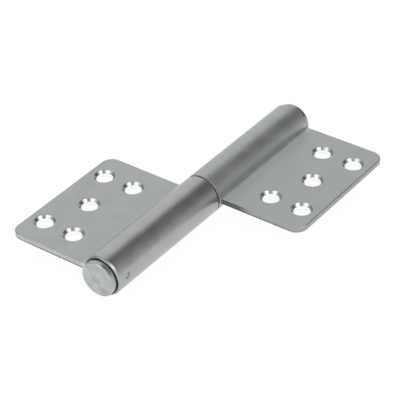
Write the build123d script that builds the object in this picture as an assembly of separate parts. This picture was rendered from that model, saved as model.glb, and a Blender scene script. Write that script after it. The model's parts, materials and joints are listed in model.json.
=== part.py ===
"""Lift-off flag hinge: two equal halves of rolled sheet, end to end on one fixed pin.

Millimetres. The origin is on the barrel's axis, at the middle of its length. +Y runs along the
barrel from the pin half to the socket half, +X points from the barrel to the socket half's
leaf, and +Z points out of the countersunk faces. Each piece is drawn in the socket half's
place, with its leaf toward +X, and the pin half's pieces are then turned half round +Z.
"""
from build123d import *

import os
from math import asin, cos, degrees, radians, sin, sqrt, tan

# Sheet and leaf
sheet_thickness = 2.0
leaf_reach = 38.0  # barrel's axis to the leaf's free edge
leaf_seam_setback = 0.25  # leaf's seam edge behind the knuckle's face
leaf_end_setback = 0.65  # leaf's outer edge behind the knuckle's end
corner_radius = 4.0
edge_break = 0.2  # chamfer round the leaf and on to the knuckle's outer end

# Rolled knuckle
knuckle_length = 50.8
bend_radius = 0.4  # hollow side of the bend from leaf to roll
closing_gap = 0.03  # from the countersunk face's level up to the roll's end
rim_taper_length = 0.7  # of the knuckle's outer end, as far round as the roll goes
rim_taper_depth = 0.26
mouth_chamfer = 1.5  # of the bore at the knuckle's outer end
seam_taper_length = 0.2  # of the knuckle's seam rim
seam_taper_depth = 0.08
root_strip = 0.15  # strip of leaf beside the barrel that is as long as the knuckle

# Screw holes, five in each leaf
hole_diameter = 5.4
countersink_diameter = 7.2
countersink_angle = 90.0
hole_spacing_across = 12.0
hole_edge_margin = 6.0  # outer column of holes to the leaf's free edge
hole_end_margin = 9.95  # each end row of holes to its end of the leaf

# Hinge pin and socket plug, with the same head
pin_diameter = 9.9
running_clearance = 0.05  # all round the pin
plug_stem_length = 7.0
tip_gap = 3.4  # between the pin's tip and the plug's stem
nose_chamfer = 0.8
head_diameter = 12.1
head_thickness = 1.96
head_chamfer = 0.3
head_gap = 0.2  # between the knuckle's end and the head

# Locking pins through the knuckle walls
lock_diameter = 2.0
lock_length = 4.6
lock_clearance = 0.02
lock_recess = 0.25  # below the barrel's surface
lock_chamfer = 0.2  # on the end that goes in first
lock_end_margin = 4.15  # to the knuckle's outer end
lock_angle = 6.0  # above the leaf's plane, on the side away from the leaf

# Bearing ring in the seam
ring_recess = 0.7  # below the barrel's surface
ring_thickness = 0.4
ring_clearance = 0.08  # all round the pin
end_play = 0.04  # on each side of the ring

# Worked out from the sizes above
bore_radius = pin_diameter / 2 + running_clearance
barrel_radius = bore_radius + sheet_thickness
knuckle_start = ring_thickness / 2 + end_play
knuckle_end = knuckle_start + knuckle_length
leaf_start = knuckle_start + leaf_seam_setback
leaf_end = knuckle_end - leaf_end_setback
leaf_face = sheet_thickness / 2  # the leaf is centred on the barrel
bend_depth = leaf_face + bend_radius  # of the bend's centre below the barrel's axis
centres_apart = barrel_radius + bend_radius
bend_start = degrees(asin(bend_depth / centres_apart))  # below the leaf's plane
roll_end = degrees(asin((leaf_face + closing_gap) / barrel_radius))  # above it
roll_turn = 360 - bend_start - roll_end
root_edge = barrel_radius + root_strip
stem_end = knuckle_end - plug_stem_length
pin_tip = stem_end - tip_gap
overshoot = 1.0  # of cutting shapes past what they cut

half_turn = Rot(0, 0, 180)


def knuckle_section() -> Sketch:
    """Section across the barrel: flat leaf, bend, and roll closing on the countersunk face.

    The bend's centre lies below the leaf, where its hollow side touches the outside of the
    roll, so the underside runs smoothly from leaf to barrel and the top face into the bore.
    """
    bend_centre = (sqrt(centres_apart**2 - bend_depth**2), -bend_depth)
    bend_turn = 90 - bend_start
    end_x, end_z = cos(radians(roll_end)), sin(radians(roll_end))
    roll_corners = [(radius * end_x, radius * end_z) for radius in (bore_radius, barrel_radius)]
    outline = [
        Line((leaf_reach, leaf_face), (bend_centre[0], leaf_face)),
        CenterArc(bend_centre, bend_radius + sheet_thickness, 90, bend_turn),
        CenterArc((0, 0), bore_radius, -bend_start, -roll_turn),
        Line(*roll_corners),
        CenterArc((0, 0), barrel_radius, roll_end, roll_turn),
        CenterArc(bend_centre, bend_radius, 180 - bend_start, -bend_turn),
        Line((bend_centre[0], -leaf_face), (leaf_reach, -leaf_face)),
        Line((leaf_reach, -leaf_face), (leaf_reach, leaf_face)),
    ]
    return make_face(outline)


def leaf_plan() -> Sketch:
    """One half seen from above: the barrel's strip, and the leaf with its round corners."""
    strip = Rectangle(barrel_radius + root_edge, knuckle_length)
    strip = Pos((root_edge - barrel_radius) / 2, (knuckle_start + knuckle_end) / 2) * strip
    leaf = Rectangle(leaf_reach, leaf_end - leaf_start)
    leaf = Pos(leaf_reach / 2, (leaf_start + leaf_end) / 2) * leaf
    leaf = fillet(leaf.vertices().group_by(Axis.X)[-1], corner_radius)
    return strip + leaf


def screw_hole() -> Part:
    """Cutting shape of a countersunk hole, whose mouth is the leaf's top face."""
    hole_radius = hole_diameter / 2
    mouth_radius = countersink_diameter / 2
    depth = (mouth_radius - hole_radius) / tan(radians(countersink_angle / 2))
    bore = Cylinder(hole_radius, sheet_thickness + 2 * overshoot)
    return bore + Pos(0, 0, leaf_face - depth / 2) * Cone(hole_radius, mouth_radius, depth)


def hole_places() -> list[tuple[float, float]]:
    """Centres of a leaf's screw holes: the corners of a rectangle, and its middle."""
    outer_x = leaf_reach - hole_edge_margin
    inner_x = outer_x - hole_spacing_across
    end_y = leaf_end - hole_end_margin
    seam_y = leaf_start + hole_end_margin
    corners = [(x, y) for x in (inner_x, outer_x) for y in (seam_y, end_y)]
    return corners + [((inner_x + outer_x) / 2, (seam_y + end_y) / 2)]


def lock_axis() -> Location:
    """Place of a locking pin: its own +Z runs out of the barrel, away from the leaf."""
    return Pos(0, knuckle_end - lock_end_margin, 0) * Rot(0, lock_angle - 90, 0)


def lock_hole() -> Part:
    """Cutting shape for a locking pin, through the knuckle's wall and into what it holds."""
    bottom = barrel_radius - lock_recess - lock_length - lock_clearance
    top = barrel_radius + overshoot
    hole = Cylinder(lock_diameter / 2 + lock_clearance, top - bottom)
    return lock_axis() * Pos(0, 0, (bottom + top) / 2) * hole


def lock_pin() -> Part:
    """Dowel that keeps the hinge pin or the plug from turning and sliding."""
    dowel = Cylinder(lock_diameter / 2, lock_length)
    dowel = chamfer(dowel.edges().group_by(Axis.Z)[0], lock_chamfer)
    middle = barrel_radius - lock_recess - lock_length / 2
    return lock_axis() * Pos(0, 0, middle) * dowel


def blank_edges(half: Part) -> ShapeList[Edge]:
    """Edges round both flat faces, without the lines where the bend starts."""
    edges = half.faces().filter_by(Axis.Z).edges()
    bend_lines = edges.group_by(Axis.X)[0]
    return edges - bend_lines


def seam_rim(half: Part) -> Edge:
    """Outer rim of the knuckle at the seam: the longest arc of its end face."""
    arcs = half.edges().filter_by(GeomType.CIRCLE)
    return arcs.filter_by_position(Axis.Y, knuckle_start, knuckle_start).sort_by(SortBy.LENGTH)[-1]


def rim_cutter() -> Part:
    """Cutting shape that tapers the roll's outer end, from the bend round to the roll's end."""
    start = knuckle_end - rim_taper_length
    end = knuckle_end + overshoot
    inner = barrel_radius - rim_taper_depth * (1 + overshoot / rim_taper_length)
    outer = barrel_radius + overshoot
    corners = [(barrel_radius, start), (outer, start), (outer, end), (inner, end)]
    wedge = Polygon(*corners, align=None)
    return revolve(Rot(0, bend_start, 0) * wedge, Axis.Y, roll_turn)


def mouth_cutter() -> Part:
    """Cutting shape of the bore's wide chamfer under the head."""
    mouth_radius = bore_radius + mouth_chamfer
    cone = Cone(bore_radius, mouth_radius, mouth_chamfer)
    return Pos(0, knuckle_end - mouth_chamfer / 2, 0) * Rot(-90, 0, 0) * cone


def rolled_half() -> Part:
    """Leaf and knuckle of one half: one sheet, cut to its plan, rolled, chamfered and drilled."""
    across = Plane((0, knuckle_start, 0), x_dir=(1, 0, 0), z_dir=(0, -1, 0))
    half = extrude(across * knuckle_section(), -knuckle_length)
    half &= extrude(leaf_plan(), barrel_radius + overshoot, both=True)
    half = chamfer(blank_edges(half), edge_break)
    seam_face = half.faces().filter_by(Axis.Y).sort_by(Axis.Y)[0]
    half = chamfer(seam_rim(half), seam_taper_depth, seam_taper_length, reference=seam_face)
    half -= [rim_cutter(), mouth_cutter()]
    half -= [Pos(x, y) * screw_hole() for x, y in hole_places()]
    return half - lock_hole()


def axial_slice(diameter: float, start: float, end: float) -> Sketch:
    """Half section of a turned length, from the barrel's axis out to its radius."""
    return Pos(diameter / 4, (start + end) / 2) * Rectangle(diameter / 2, end - start)


def headed_pin(tip: float) -> Part:
    """Turned pin from its tip to the head that closes the barrel's outer end."""
    head_base = knuckle_end + head_gap
    head = axial_slice(head_diameter, head_base, head_base + head_thickness)
    head = chamfer(head.vertices().group_by(Axis.Y)[-1].sort_by(Axis.X)[-1], head_chamfer)
    shank = axial_slice(pin_diameter, tip, head_base)
    shank = chamfer(shank.vertices().group_by(Axis.Y)[0].sort_by(Axis.X)[-1], nose_chamfer)
    return revolve(shank + head, Axis.Y) - lock_hole()


def bearing_ring() -> Part:
    """Flat ring round the pin, between the two knuckles."""
    outside = Cylinder(barrel_radius - ring_recess, ring_thickness)
    inside = Cylinder(pin_diameter / 2 + ring_clearance, ring_thickness)
    return Rot(90, 0, 0) * (outside - inside)


pieces = {
    "lower_leaf": half_turn * rolled_half(),
    "upper_leaf": rolled_half(),
    "hinge_pin": half_turn * headed_pin(-pin_tip),
    "end_plug": headed_pin(stem_end),
    "lower_lock_pin": half_turn * lock_pin(),
    "upper_lock_pin": lock_pin(),
    "bearing_ring": bearing_ring(),
}
os.makedirs("parts", exist_ok=True)
for name, piece in pieces.items():
    export_step(piece, f"parts/{name}.step")
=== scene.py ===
import json
import logging
import math
from dataclasses import dataclass, replace
from enum import Enum

import bpy
from mathutils import Matrix, Vector

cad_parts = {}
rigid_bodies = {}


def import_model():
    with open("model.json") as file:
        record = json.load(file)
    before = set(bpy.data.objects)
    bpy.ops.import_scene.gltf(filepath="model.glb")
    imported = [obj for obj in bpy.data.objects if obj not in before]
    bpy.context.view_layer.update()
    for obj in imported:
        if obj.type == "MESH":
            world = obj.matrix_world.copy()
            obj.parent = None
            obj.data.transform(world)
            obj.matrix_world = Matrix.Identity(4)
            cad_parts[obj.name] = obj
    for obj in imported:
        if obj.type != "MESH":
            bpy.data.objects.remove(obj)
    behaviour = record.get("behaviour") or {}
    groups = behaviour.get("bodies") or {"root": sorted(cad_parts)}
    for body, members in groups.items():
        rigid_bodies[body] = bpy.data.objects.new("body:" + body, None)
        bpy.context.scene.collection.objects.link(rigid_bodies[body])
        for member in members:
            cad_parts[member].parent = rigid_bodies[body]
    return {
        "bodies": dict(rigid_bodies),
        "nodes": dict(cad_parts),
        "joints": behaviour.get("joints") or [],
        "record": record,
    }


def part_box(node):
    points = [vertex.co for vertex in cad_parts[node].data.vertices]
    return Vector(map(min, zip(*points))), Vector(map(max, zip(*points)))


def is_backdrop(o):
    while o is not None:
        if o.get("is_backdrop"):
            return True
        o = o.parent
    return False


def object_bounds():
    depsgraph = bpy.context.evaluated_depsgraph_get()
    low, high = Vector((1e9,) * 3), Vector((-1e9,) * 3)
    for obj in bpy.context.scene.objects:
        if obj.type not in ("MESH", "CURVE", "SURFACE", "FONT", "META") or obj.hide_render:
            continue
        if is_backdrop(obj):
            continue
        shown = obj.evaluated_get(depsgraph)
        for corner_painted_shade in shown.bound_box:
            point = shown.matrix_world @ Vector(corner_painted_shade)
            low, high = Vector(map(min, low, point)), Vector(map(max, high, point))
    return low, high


log = logging.getLogger("flag_hinge")

Tree = bpy.types.NodeTree
Socket = bpy.types.NodeSocket

MM = 0.001
PHOTO_SIDE_PX = 400
NOISE_LOW, NOISE_HIGH = 0.3, 0.7  # most of a noise texture's values lie between these
WAVE_RADIANS = 20  # through which a wave texture of scale 1 turns in a metre
BEVEL_SAMPLES = 6
WHITE = (1.0, 1.0, 1.0, 1.0)


class Grain(Enum):
    """How a steel surface was made, which sets the pattern that it shows."""

    ROLLED = "cold rolled and tumbled"
    TURNED = "turned on a lathe"
    GROUND = "ground to size"


def linear(hex_colour: str) -> tuple[float, float, float, float]:
    """Turn an sRGB hex colour into linear red, green, blue and alpha.

    Args:
        hex_colour: six hex digits after a hash sign.

    Returns:
        The linear colour, with full alpha.
    """
    channels = [int(hex_colour[i : i + 2], 16) / 255 for i in (1, 3, 5)]
    lin = [c / 12.92 if c <= 0.04045 else ((c + 0.055) / 1.055) ** 2.4 for c in channels]
    return (lin[0], lin[1], lin[2], 1.0)


def toward(azimuth: float, elevation: float) -> Vector:
    """Unit vector from the hinge to a place seen at an azimuth and elevation.

    Args:
        azimuth: degrees, 0 in front of the near end of the barrel, 90 on the +X side.
        elevation: degrees above the leaves' plane.

    Returns:
        The direction in the hinge's own frame.
    """
    az, el = math.radians(azimuth), math.radians(elevation)
    return Vector((math.sin(az) * math.cos(el), -math.cos(az) * math.cos(el), math.sin(el)))


def add_node(tree: Tree, kind: str, settings: dict | None = None,
             inputs: dict | None = None) -> bpy.types.Node:
    """Add a shader node, with its settings, values and incoming links.

    Args:
        tree: the node tree that takes the node.
        kind: the node's type name, without its ShaderNode prefix.
        settings: node properties by name.
        inputs: input sockets by name or number, each with a value or with the socket to link from.

    Returns:
        The new node.
    """
    node = tree.nodes.new("ShaderNode" + kind)
    for name, value in (settings or {}).items():
        setattr(node, name, value)
    for name, value in (inputs or {}).items():
        if isinstance(value, Socket):
            tree.links.new(value, node.inputs[name])
        else:
            node.inputs[name].default_value = value
    return node


@dataclass(frozen=True)
class HalfSizes:
    """Where one half of the hinge lies, as the frame gives it, in metres."""

    side: float  # 1 where the leaf lies toward +X, and -1 toward -X
    barrel_radius: float
    seam_end: float  # the knuckle's two ends, measured from the middle of the hinge
    outer_end: float
    free_edge: float  # of the leaf, measured from the barrel's axis
    face: float  # heights of the leaf's countersunk face and of its back
    back: float
    hole_radius: float
    hole_centres: tuple[Vector, ...]


@dataclass(frozen=True)
class BlankedEdge:
    """The leaf's cut edge: an upper band, burnished by the shears and given painted light, over a dark
    lower band.

    Each band has a shade, a factor on the sheet's tint: above 1 a painted highlight, below 1 painted
    shade. The lower band's darkness is partly the metal that broke under the shears and partly
    painted shade, the shadow under the hinge seen in the cropped ends. It belongs to the two cropped
    ends and fades to a smooth edge at the free side. Beside the barrel the upper band darkens with
    painted shade.
    """

    sizes: HalfSizes
    # painted light on the upper band, a factor on the tint
    upper_painted_light: float
    corner_painted_shade: float  # painted shade on the upper band beside the barrel
    corner_start: float = 6.0 * MM  # from the barrel's side, where that shade begins to change
    corner_end: float = 13.0 * MM  # and where it has turned to the upper band's painted light
    # darkness of the lower band at the cropped ends: partly broken metal, partly painted shade
    torn_and_painted_shade: float = 0.15
    smooth: float = 0.88
    fade: float = 8.0 * MM  # before the free edge, over which the torn band turns smooth
    torn_solid: float = 0.18  # shares of the thickness, up to which the torn band is whole
    torn_top: float = 0.38  # and where it ends
    clear_of_barrel: float = 0.4 * MM
    skin: float = 0.02 * MM  # of the two faces, left as they are

    def shade(self, tree: Tree, place: Socket) -> Socket:
        """Paint light and shade on the points between the leaf's two faces, outside the barrel.

        Args:
            tree: the material's node tree.
            place: the point on the surface, in metres.

        Returns:
            The socket of a factor for the tint, 1 away from the edge.
        """
        sizes = self.sizes
        thickness = sizes.face - sizes.back
        axes = add_node(tree, "SeparateXYZ", None, {0: place})
        reach = add_node(tree, "Math", {"operation": "ABSOLUTE"}, {0: axes.outputs["X"]}).outputs[0]
        # lower band: partly painted shade at the cropped ends, turning smooth at the free edge
        lower = add_node(tree, "MapRange", None,
                         {"Value": reach,
                          "From Min": sizes.free_edge - self.fade, "From Max": sizes.free_edge,
                          "To Min": self.torn_and_painted_shade, "To Max": self.smooth}).outputs["Result"]
        # upper band: painted light, with painted shade beside the barrel
        upper = add_node(tree, "MapRange", {"interpolation_type": "SMOOTHSTEP"},
                         {"Value": reach,
                          "From Min": sizes.barrel_radius + self.corner_start,
                          "From Max": sizes.barrel_radius + self.corner_end,
                          "To Min": self.corner_painted_shade, "To Max": self.upper_painted_light}).outputs["Result"]
        bands = add_node(tree, "MapRange", {"interpolation_type": "SMOOTHSTEP"},
                         {"Value": axes.outputs["Z"],
                          "From Min": sizes.back + self.torn_solid * thickness,
                          "From Max": sizes.back + self.torn_top * thickness,
                          "To Min": lower, "To Max": upper}).outputs["Result"]
        between = add_node(tree, "Math", {"operation": "COMPARE"},
                           {0: axes.outputs["Z"], 1: (sizes.face + sizes.back) / 2,
                            2: thickness / 2 - self.skin}).outputs[0]
        clear = add_node(tree, "Math", {"operation": "GREATER_THAN"},
                         {0: reach, 1: sizes.barrel_radius + self.clear_of_barrel}).outputs[0]
        here = add_node(tree, "Math", {"operation": "MULTIPLY"}, {0: between, 1: clear}).outputs[0]
        return add_node(tree, "Mix", None, {"Factor": here, 2: 1.0, 3: bands}).outputs[0]


@dataclass(frozen=True)
class RolledKnuckle:
    """The rolled metal: warmer in tone, with painted light at its root beside the leaf, and painted
    light and shade on both rims.

    Distances beyond the barrel run from its side out over the leaf.
    """

    sizes: HalfSizes
    tint: str
    # factors on the tint that paint light on the two rims
    seam_rim_painted_light: float  # above 1 a painted highlight, below 1 painted shade
    outer_rim_painted_light: float
    root_end: float  # beyond the barrel, where the painted light at the root has faded out
    root_start: float = -0.4 * MM  # where the painted light at the root sets in
    root_hold: float = 0.4 * MM  # up to here it is at its lightest
    root_painted_light: float = 0.32  # share of painted light added there
    tone_end: float = 2.0 * MM  # where the knuckle's tone has turned to the sheet's
    seam_rim_width: float = 0.22 * MM
    outer_rim_width: float = 0.72 * MM
    outer_rim_end: float = 0.05 * MM  # beyond the barrel, so that it leaves out the leaf's edge

    def tone(self, tree: Tree, place: Socket, tint: tuple[float, ...]) -> Socket:
        """Turn the sheet's tint into the knuckle's, and paint light at the root and on the rims.

        Args:
            tree: the material's node tree.
            place: the point on the surface, in metres.
            tint: the sheet's own tint.

        Returns:
            The socket of the tint.
        """
        axes = add_node(tree, "SeparateXYZ", None, {0: place})
        beyond = add_node(tree, "Math", {"operation": "MULTIPLY_ADD"},
                          {0: axes.outputs["X"], 1: self.sizes.side,
                           2: -self.sizes.barrel_radius}).outputs[0]
        flat = add_node(tree, "MapRange", {"interpolation_type": "SMOOTHSTEP"},
                        {"Value": beyond, "From Min": 0.0, "From Max": self.tone_end,
                         "To Min": 0.0, "To Max": 1.0}).outputs["Result"]
        toned = add_node(tree, "Mix", {"data_type": "RGBA"},
                         {"Factor": flat, 6: linear(self.tint), 7: tint}).outputs[2]
        # painted light in the crease at the root beside the leaf
        rise = add_node(tree, "MapRange", {"interpolation_type": "SMOOTHSTEP"},
                        {"Value": beyond, "From Min": self.root_start, "From Max": 0.0,
                         "To Min": 0.0, "To Max": self.root_painted_light}).outputs["Result"]
        fall = add_node(tree, "MapRange", {"interpolation_type": "SMOOTHSTEP"},
                        {"Value": beyond, "From Min": self.root_hold, "From Max": self.root_end,
                         "To Min": 1.0, "To Max": 0.0}).outputs["Result"]
        root = add_node(tree, "Math", {"operation": "MULTIPLY_ADD"},
                        {0: rise, 1: fall, 2: 1.0}).outputs[0]
        shade = add_node(tree, "Math", {"operation": "MULTIPLY"},
                         {0: root, 1: self.rims(tree, axes, beyond)}).outputs[0]
        return add_node(tree, "Mix", {"data_type": "RGBA", "blend_type": "MULTIPLY"},
                        {"Factor": 1.0, 6: toned, 7: shade}).outputs[2]

    def rims(self, tree: Tree, axes: bpy.types.Node, beyond: Socket) -> Socket:
        """Paint light and shade on the knuckle's two rims.

        Args:
            tree: the material's node tree.
            axes: the node that gives the point's X, Y and Z.
            beyond: how far the point lies beyond the barrel.

        Returns:
            The socket of a factor for the tint, 1 away from the rims.
        """
        along = add_node(tree, "Math", {"operation": "ABSOLUTE"}, {0: axes.outputs["Y"]}).outputs[0]
        at_seam = add_node(tree, "Math", {"operation": "LESS_THAN"},
                           {0: along, 1: self.sizes.seam_end + self.seam_rim_width}).outputs[0]
        at_end = add_node(tree, "Math", {"operation": "GREATER_THAN"},
                          {0: along, 1: self.sizes.outer_end - self.outer_rim_width}).outputs[0]
        on_barrel = add_node(tree, "Math", {"operation": "LESS_THAN"},
                             {0: beyond, 1: self.outer_rim_end}).outputs[0]
        outer = add_node(tree, "Math", {"operation": "MULTIPLY"},
                         {0: at_end, 1: on_barrel}).outputs[0]
        # painted light on the seam rim, then on the outer rim
        seam_shade = add_node(tree, "Mix", None,
                              {"Factor": at_seam, 2: 1.0, 3: self.seam_rim_painted_light}).outputs[0]
        return add_node(tree, "Mix", None,
                        {"Factor": outer, 2: seam_shade, 3: self.outer_rim_painted_light}).outputs[0]


@dataclass(frozen=True)
class HoleCut:
    """Bright bare metal on the screw holes' walls, cut by one tool; on the land, a painted highlight.
    """

    sizes: HalfSizes
    radius: float
    tint: str
    roughness: float
    margin: float = 0.03 * MM  # keeps the walls' edges in and the back face out

    def mask(self, tree: Tree, place: Socket) -> Socket:
        """Mark the walls that lie within the cut's radius, above the uncut back face.

        Args:
            tree: the material's node tree.
            place: the point on the surface, in metres.

        Returns:
            The socket of a factor: 1 on cut metal and 0 elsewhere.
        """
        flat = add_node(tree, "VectorMath", {"operation": "MULTIPLY"},
                        {0: place, 1: (1.0, 1.0, 0.0)}).outputs["Vector"]
        height = add_node(tree, "SeparateXYZ", None, {0: place}).outputs["Z"]
        inside = add_node(tree, "Math", {"operation": "GREATER_THAN"},
                          {0: height, 1: self.sizes.back + self.margin}).outputs[0]
        near = None
        for centre in self.sizes.hole_centres:
            away = add_node(tree, "VectorMath", {"operation": "DISTANCE"},
                            {0: flat, 1: (centre.x, centre.y, 0.0)}).outputs["Value"]
            here = add_node(tree, "Math", {"operation": "LESS_THAN"},
                            {0: away, 1: self.radius + self.margin}).outputs[0]
            near = here if near is None else add_node(
                tree, "Math", {"operation": "MAXIMUM"}, {0: near, 1: here}).outputs[0]
        return add_node(tree, "Math", {"operation": "MULTIPLY"}, {0: near, 1: inside}).outputs[0]


@dataclass(frozen=True)
class SteelFinish:
    """A stainless steel surface: its tint, its gloss, and the marks that its making left."""

    name: str
    tint: str
    roughness: float
    grain: Grain
    grain_size: float  # of a rolled or ground mark, or from one turned ring to the next
    grain_height: float
    ground_stretch: float = 0.15  # a ground mark's width over its length
    patch_size: float = 7.0 * MM
    patch_spread: float = 0.05  # share by which patches are lighter or darker
    patches_from: float = 0.0  # along the barrel, measured from the middle of the hinge
    edge_radius: float = 0.4 * MM  # by which sharp edges look softened

    def marks(self, tree: Tree, place: Socket) -> Socket:
        """Draw the surface's own fine marks.

        Args:
            tree: the material's node tree.
            place: the point on the surface, in metres.

        Returns:
            The socket of the marks' height, from 0 to 1.
        """
        if self.grain is Grain.TURNED:
            per_metre = 2 * math.pi / (WAVE_RADIANS * self.grain_size)
            rings = add_node(tree, "TexWave", {"wave_type": "RINGS", "rings_direction": "Y"},
                             {"Vector": place, "Scale": per_metre, "Distortion": 0.4, "Detail": 1.0})
            return rings.outputs["Fac"]
        lengthwise = self.ground_stretch if self.grain is Grain.GROUND else 1.0
        laid = add_node(tree, "VectorMath", {"operation": "MULTIPLY"},
                        {0: place, 1: (1.0, lengthwise, 1.0)}).outputs["Vector"]
        noise = add_node(tree, "TexNoise", None,
                         {"Vector": laid, "Scale": 1 / self.grain_size, "Detail": 3.0})
        return noise.outputs["Fac"]

    def patches(self, tree: Tree, place: Socket) -> Socket:
        """Draw the soft patches that tumbling leaves on sheet, and handling on the heads.

        Args:
            tree: the material's node tree.
            place: the point on the surface, in metres.

        Returns:
            The socket of a factor about 1, for the tint and the roughness.
        """
        noise = add_node(tree, "TexNoise", None,
                         {"Vector": place, "Scale": 1 / self.patch_size, "Detail": 2.0})
        patch = add_node(tree, "MapRange", None,
                         {"Value": noise.outputs["Fac"],
                          "From Min": NOISE_LOW, "From Max": NOISE_HIGH,
                          "To Min": 1 - self.patch_spread,
                          "To Max": 1 + self.patch_spread}).outputs["Result"]
        if not self.patches_from:
            return patch
        axes = add_node(tree, "SeparateXYZ", None, {0: place})
        along = add_node(tree, "Math", {"operation": "ABSOLUTE"}, {0: axes.outputs["Y"]}).outputs[0]
        here = add_node(tree, "Math", {"operation": "GREATER_THAN"},
                        {0: along, 1: self.patches_from}).outputs[0]
        return add_node(tree, "Mix", None, {"Factor": here, 2: 1.0, 3: patch}).outputs[0]

    def material(self, knuckle: RolledKnuckle | None = None, edge: BlankedEdge | None = None,
                 cuts: tuple[HoleCut, ...] = ()) -> bpy.types.Material:
        """Make the material.

        Args:
            knuckle: the rolled part of the sheet, where it has one.
            edge: the sheet's cut edge, where it has one.
            cuts: hole walls that are brighter than the rest, the widest first.

        Returns:
            The finished material.
        """
        material = bpy.data.materials.new(self.name)
        material.use_nodes = True
        tree = material.node_tree
        tree.nodes.clear()
        place = add_node(tree, "TexCoord").outputs["Object"]
        tint = linear(self.tint)
        if knuckle:
            tint = knuckle.tone(tree, place, tint)
        shade = self.patches(tree, place)
        rough = add_node(tree, "Math", {"operation": "MULTIPLY"},
                         {0: shade, 1: self.roughness}).outputs[0]
        if edge:
            shade = add_node(tree, "Math", {"operation": "MULTIPLY"},
                             {0: shade, 1: edge.shade(tree, place)}).outputs[0]
        tint = add_node(tree, "Mix", {"data_type": "RGBA", "blend_type": "MULTIPLY"},
                        {"Factor": 1.0, 6: tint, 7: shade}).outputs[2]
        for cut in cuts:
            wall = cut.mask(tree, place)
            tint = add_node(tree, "Mix", {"data_type": "RGBA"},
                            {"Factor": wall, 6: tint, 7: linear(cut.tint)}).outputs[2]
            rough = add_node(tree, "Mix", None,
                             {"Factor": wall, 2: rough, 3: cut.roughness}).outputs[0]
        soft_edges = add_node(tree, "Bevel", {"samples": BEVEL_SAMPLES}, {"Radius": self.edge_radius})
        bump = add_node(tree, "Bump", None,
                        {"Strength": 1.0, "Distance": self.grain_height,
                         "Height": self.marks(tree, place), "Normal": soft_edges.outputs["Normal"]})
        steel = add_node(tree, "BsdfPrincipled", None,
                         {"Base Color": tint, "Metallic": 1.0, "Roughness": rough,
                          "Normal": bump.outputs["Normal"]})
        add_node(tree, "OutputMaterial", None, {"Surface": steel.outputs["BSDF"]})
        return material


# Real tumbled or ground marks and lathe feeds are near 0.1 mm, a third of a pixel in the
# photograph. So sheet and dowel get marks of about a pixel, and the rings are 2.2 mm apart.
SHEET = SteelFinish(  # fine even satin with a faint green-grey tint
    "tumbled_cold_rolled_stainless_sheet", "#A9AEAC", 0.34, Grain.ROLLED, 0.35 * MM, 0.004 * MM)
FAR_SHEET = replace(  # the same, a little duller
    SHEET, name="coarser_tumbled_stainless_sheet", tint="#ACB1AE", roughness=0.43)
TURNED = SteelFinish(  # a little brighter, with faint rings round the pin's axis and marked heads
    "turned_stainless_bar", "#B2B6B5", 0.34, Grain.TURNED, 2.2 * MM, 0.003 * MM,
    patch_size=2.6 * MM, patch_spread=0.17, patches_from=51.0 * MM, edge_radius=0.2 * MM)
GROUND = SteelFinish(  # smooth, with a faint grain
    "ground_stainless_dowel", "#A8ADAA", 0.34, Grain.GROUND, 0.3 * MM, 0.003 * MM)
WASHER = SteelFinish(  # punched ring, tinted dark as painted shade in the seam's gap, almost hidden there
    "punched_stainless_washer", "#6E716F", 0.45, Grain.ROLLED, 0.3 * MM, 0.003 * MM)

COUNTERSINK_RADIUS = 3.6 * MM
CONE_TINT = "#B6BBB8"  # cut by the countersink
CONE_ROUGHNESS = 0.28
LAND_HIGHLIGHT_TINT = "#FDFEFD"  # painted highlight on the narrow wall below the cone, burnished by the punch
LAND_ROUGHNESS = 0.12


@dataclass(frozen=True)
class LeafHalf:
    """One rolled half of the hinge, and how its sheet looks.

    The rims and the root are RolledKnuckle's painted light, and the last two fields are BlankedEdge's
    painted light on the upper band and painted shade beside the barrel.
    """

    half: str  # the first word of its node and mounts
    finish: SteelFinish
    knuckle_tint: str
    seam_rim_painted_light: float
    outer_rim_painted_light: float
    root_end: float
    edge_painted_light: float
    edge_corner_painted_shade: float

    def sizes(self, frame: dict) -> HalfSizes:
        """Read where the half lies.


        Returns:
            The half's sizes and places.
        """
        mounts = {mount["name"]: mount for mount in frame["record"]["mounts"]}
        screws = mounts[self.half + "_screws"]
        middle = Vector(screws["pos_m"])
        half_x = screws["dims"]["spacing_x_mm"] * MM / 2
        half_y = screws["dims"]["spacing_y_mm"] * MM / 2
        centres = [middle + Vector((sx * half_x, sy * half_y, 0)) for sx in (-1, 1) for sy in (-1, 1)]
        centres.append(Vector(mounts[self.half + "_centre_hole"]["pos_m"]))
        low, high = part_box(self.half + "_leaf")
        back = mounts[self.half + "_back"]["pos_m"][2]
        return HalfSizes(
            side=math.copysign(1.0, middle.x),
            barrel_radius=high[2],
            seam_end=min(abs(low[1]), abs(high[1])),
            outer_end=max(abs(low[1]), abs(high[1])),
            free_edge=max(abs(low[0]), abs(high[0])),
            face=-back,  # the leaf is centred on the barrel
            back=back,
            hole_radius=screws["dims"]["hole_r_mm"] * MM,
            hole_centres=tuple(centres),
        )

    def dress(self, frame: dict) -> None:
        """Give the half its sheet finish, with painted light and shade on its knuckle and cut edges,
        and bright walls in its holes.
        """
        sizes = self.sizes(frame)
        knuckle = RolledKnuckle(sizes, self.knuckle_tint, self.seam_rim_painted_light, self.outer_rim_painted_light, self.root_end)
        edge = BlankedEdge(sizes, self.edge_painted_light, self.edge_corner_painted_shade)
        cone = HoleCut(sizes, COUNTERSINK_RADIUS, CONE_TINT, CONE_ROUGHNESS)
        # the land's near-white tint is a painted highlight
        land = HoleCut(sizes, sizes.hole_radius, LAND_HIGHLIGHT_TINT, LAND_ROUGHNESS)
        wear(frame["nodes"][self.half + "_leaf"], self.finish.material(knuckle, edge, (cone, land)))


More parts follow.
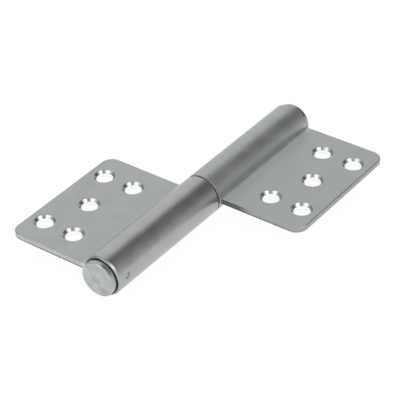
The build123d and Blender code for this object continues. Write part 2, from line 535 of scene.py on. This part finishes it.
LEAF_HALVES = (
    # Near half: painted highlights on its seam rim and on the upper band of its cropped edges
    LeafHalf("lower", SHEET, "#ABAEAA", seam_rim_painted_light=1.7, outer_rim_painted_light=1.0, root_end=2.2 * MM,
             edge_painted_light=1.2, edge_corner_painted_shade=1.2),
    # Far half: painted shade on its rims and on its cropped edges, darkening toward the barrel
    LeafHalf("upper", FAR_SHEET, "#ADB1AD", seam_rim_painted_light=0.55, outer_rim_painted_light=0.5, root_end=3.0 * MM,
             edge_painted_light=0.88, edge_corner_painted_shade=0.3),
)


def wear(piece: bpy.types.Object, material: bpy.types.Material) -> None:
    """Put one material on a whole piece.

    Args:
        piece: the mesh object.
        material: its new material.
    """
    for slot in piece.material_slots:
        slot.link = "OBJECT"
        slot.material = material
    log.info("%s wears %s", piece.name, material.name)


def dress_plain(frame: dict, finish: SteelFinish, nodes: tuple[str, ...]) -> None:
    """Give several nodes one finish.

    Args:
        finish: the finish that they share.
        nodes: the nodes' names.
    """
    material = finish.material()
    for node in nodes:
        wear(frame["nodes"][node], material)


@dataclass(frozen=True)
class PhotoCamera:
    """The camera that took the photograph, as found from the hinge's own edges and holes."""

    azimuth: float = 38.345
    elevation: float = 35.882
    roll: float = -2.694  # degrees, about the line of sight
    focal_px: float = 1721.2
    distance: float = 556.5 * MM
    right: float = -0.553 * MM  # aside from the line of sight to the hinge's middle
    up: float = -1.70 * MM
    sensor_mm: float = 36.0
    clip_start: float = 10 * MM
    clip_end: float = 50.0

    def place(self) -> None:
        """Put the camera in the scene and make it the scene's own."""
        back = toward(self.azimuth, self.elevation)
        level = Vector((math.cos(math.radians(self.azimuth)), math.sin(math.radians(self.azimuth)), 0))
        turn = Matrix.Rotation(math.radians(self.roll), 3, back)
        x_axis = turn @ level
        y_axis = turn @ back.cross(level)
        data = bpy.data.cameras.new("photo_camera")
        data.sensor_width = self.sensor_mm
        data.lens = self.focal_px * self.sensor_mm / PHOTO_SIDE_PX
        data.clip_start = self.clip_start
        data.clip_end = self.clip_end
        camera = bpy.data.objects.new("photo_camera", data)
        spot = back * self.distance + x_axis * self.right + y_axis * self.up
        axes = Matrix((x_axis, y_axis, back)).transposed().to_4x4()
        camera.matrix_world = Matrix.Translation(spot) @ axes
        bpy.context.scene.collection.objects.link(camera)
        bpy.context.scene.camera = camera
        log.info("camera at %.3f m, %.1f mm lens", spot.length, data.lens)


@dataclass(frozen=True)
class SoftBox:
    """A flat diffused light that faces the hinge."""

    name: str
    azimuth: float
    elevation: float
    width: float
    height: float
    radiance: float
    distance: float

    def place(self) -> None:
        """Hang the light where the camera doesn't see it."""
        data = bpy.data.lights.new(self.name, "AREA")
        data.shape = "RECTANGLE"
        data.size = self.width
        data.size_y = self.height
        data.energy = self.radiance * math.pi * self.width * self.height
        light = bpy.data.objects.new(self.name, data)
        out = toward(self.azimuth, self.elevation)
        facing = out.to_track_quat("Z", "Y").to_matrix().to_4x4()
        light.matrix_world = Matrix.Translation(out * self.distance) @ facing
        light.visible_camera = False
        bpy.context.scene.collection.objects.link(light)


@dataclass(frozen=True)
class TentGap:
    """A soft-edged opening in the light tent, which shows dark in polished metal."""

    azimuth: float
    elevation: float
    inner: float  # degrees from its middle, within which it is at its darkest
    outer: float  # degrees from its middle, beyond which the tent is whole
    share: float  # of the tent's light that its middle lacks


@dataclass(frozen=True)
class Studio:
    """White light tent over a pale floor, with two soft boxes beside the camera."""

    tent_radiance: float = 0.98
    floor_side: float = 6.0
    floor_glow: float = 0.96
    floor_tint: str = "#404040"
    gaps: tuple[TentGap, ...] = (
        TentGap(155.0, 43.0, 14.5, 38.0, 0.93),  # the dark band along the barrel
        TentGap(134.0, 8.0, 6.0, 36.0, 0.52),  # the weaker band on the barrel's +X side
        TentGap(-82.0, 16.0, 14.0, 38.0, 0.6),  # the dark side of each countersink
        TentGap(50.6, 55.3, 10.0, 16.0, 0.8),  # between the two bright patches in each one
        TentGap(-100.0, 82.0, 12.0, 30.0, 0.4),  # takes a little light off the barrel and leaves
    )
    boxes: tuple[SoftBox, ...] = (
        # A bright patch in each countersink, and the light line along the leaves' near edges
        SoftBox("left_soft_box", -15.0, 47.5, 0.2, 0.148, 1.8, 0.37),
        # The other bright patch, the crescent on the near rim, and a sheen along the barrel
        SoftBox("right_soft_box", 92.0, 51.0, 0.2, 0.3, 4.0, 0.6),
    )

    def build(self, floor_height: float) -> None:
        """Build the floor, the tent and the lights.

        Args:
            floor_height: where the floor lies, in metres.
        """
        self.lay_floor(floor_height)
        self.raise_tent()
        for box in self.boxes:
            box.place()
        bpy.context.scene.view_settings.view_transform = "Standard"
        log.info("studio: floor at %.4f, %d soft boxes", floor_height, len(self.boxes))

    def lay_floor(self, height: float) -> None:
        """Lay the pale floor, which glows so that its shadows stay faint.

        Args:
            height: where the floor lies, in metres.
        """
        bpy.ops.object.select_all(action="DESELECT")
        bpy.ops.mesh.primitive_plane_add(size=self.floor_side, location=(0, 0, height))
        floor = bpy.context.object
        floor.name = "studio_floor"
        material = bpy.data.materials.new("matt_white_sweep_paper")
        material.use_nodes = True
        tree = material.node_tree
        tree.nodes.clear()
        paper = add_node(tree, "BsdfPrincipled", None,
                         {"Base Color": linear(self.floor_tint), "Roughness": 1.0,
                          "Specular IOR Level": 0.0, "Emission Color": WHITE,
                          "Emission Strength": self.floor_glow})
        add_node(tree, "OutputMaterial", None, {"Surface": paper.outputs["BSDF"]})
        floor.data.materials.append(material)
        floor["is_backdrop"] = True

    def raise_tent(self) -> None:
        """Light the world as a white tent with its gaps."""
        world = bpy.data.worlds.new("light_tent")
        world.use_nodes = True
        bpy.context.scene.world = world
        tree = world.node_tree
        tree.nodes.clear()
        direction = add_node(tree, "TexCoord").outputs["Generated"]
        strength = self.tent_radiance
        for gap in self.gaps:
            spot = toward(gap.azimuth, gap.elevation)
            facing = add_node(tree, "VectorMath", {"operation": "DOT_PRODUCT"},
                              {0: direction, 1: spot}).outputs["Value"]
            left = add_node(tree, "MapRange", {"interpolation_type": "SMOOTHSTEP"},
                            {"Value": facing,
                             "From Min": math.cos(math.radians(gap.outer)),
                             "From Max": math.cos(math.radians(gap.inner)),
                             "To Min": 1.0, "To Max": 1 - gap.share}).outputs["Result"]
            strength = add_node(tree, "Math", {"operation": "MULTIPLY"},
                                {0: strength, 1: left}).outputs[0]
        glow = add_node(tree, "Background", None, {"Color": WHITE, "Strength": strength})
        add_node(tree, "OutputWorld", None, {"Surface": glow.outputs["Background"]})


def main() -> None:
    """Load the hinge, dress it, and set up the studio and the camera."""
    logging.basicConfig(level=logging.INFO, format="%(name)s: %(message)s")
    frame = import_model()
    cad_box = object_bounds()
    PhotoCamera().place()
    for half in LEAF_HALVES:
        half.dress(frame)
    dress_plain(frame, TURNED, ("hinge_pin", "end_plug"))
    dress_plain(frame, GROUND, ("lower_lock_pin", "upper_lock_pin"))
    dress_plain(frame, WASHER, ("bearing_ring",))
    Studio().build(cad_box[0][2])


if __name__ == "__main__":
    main()
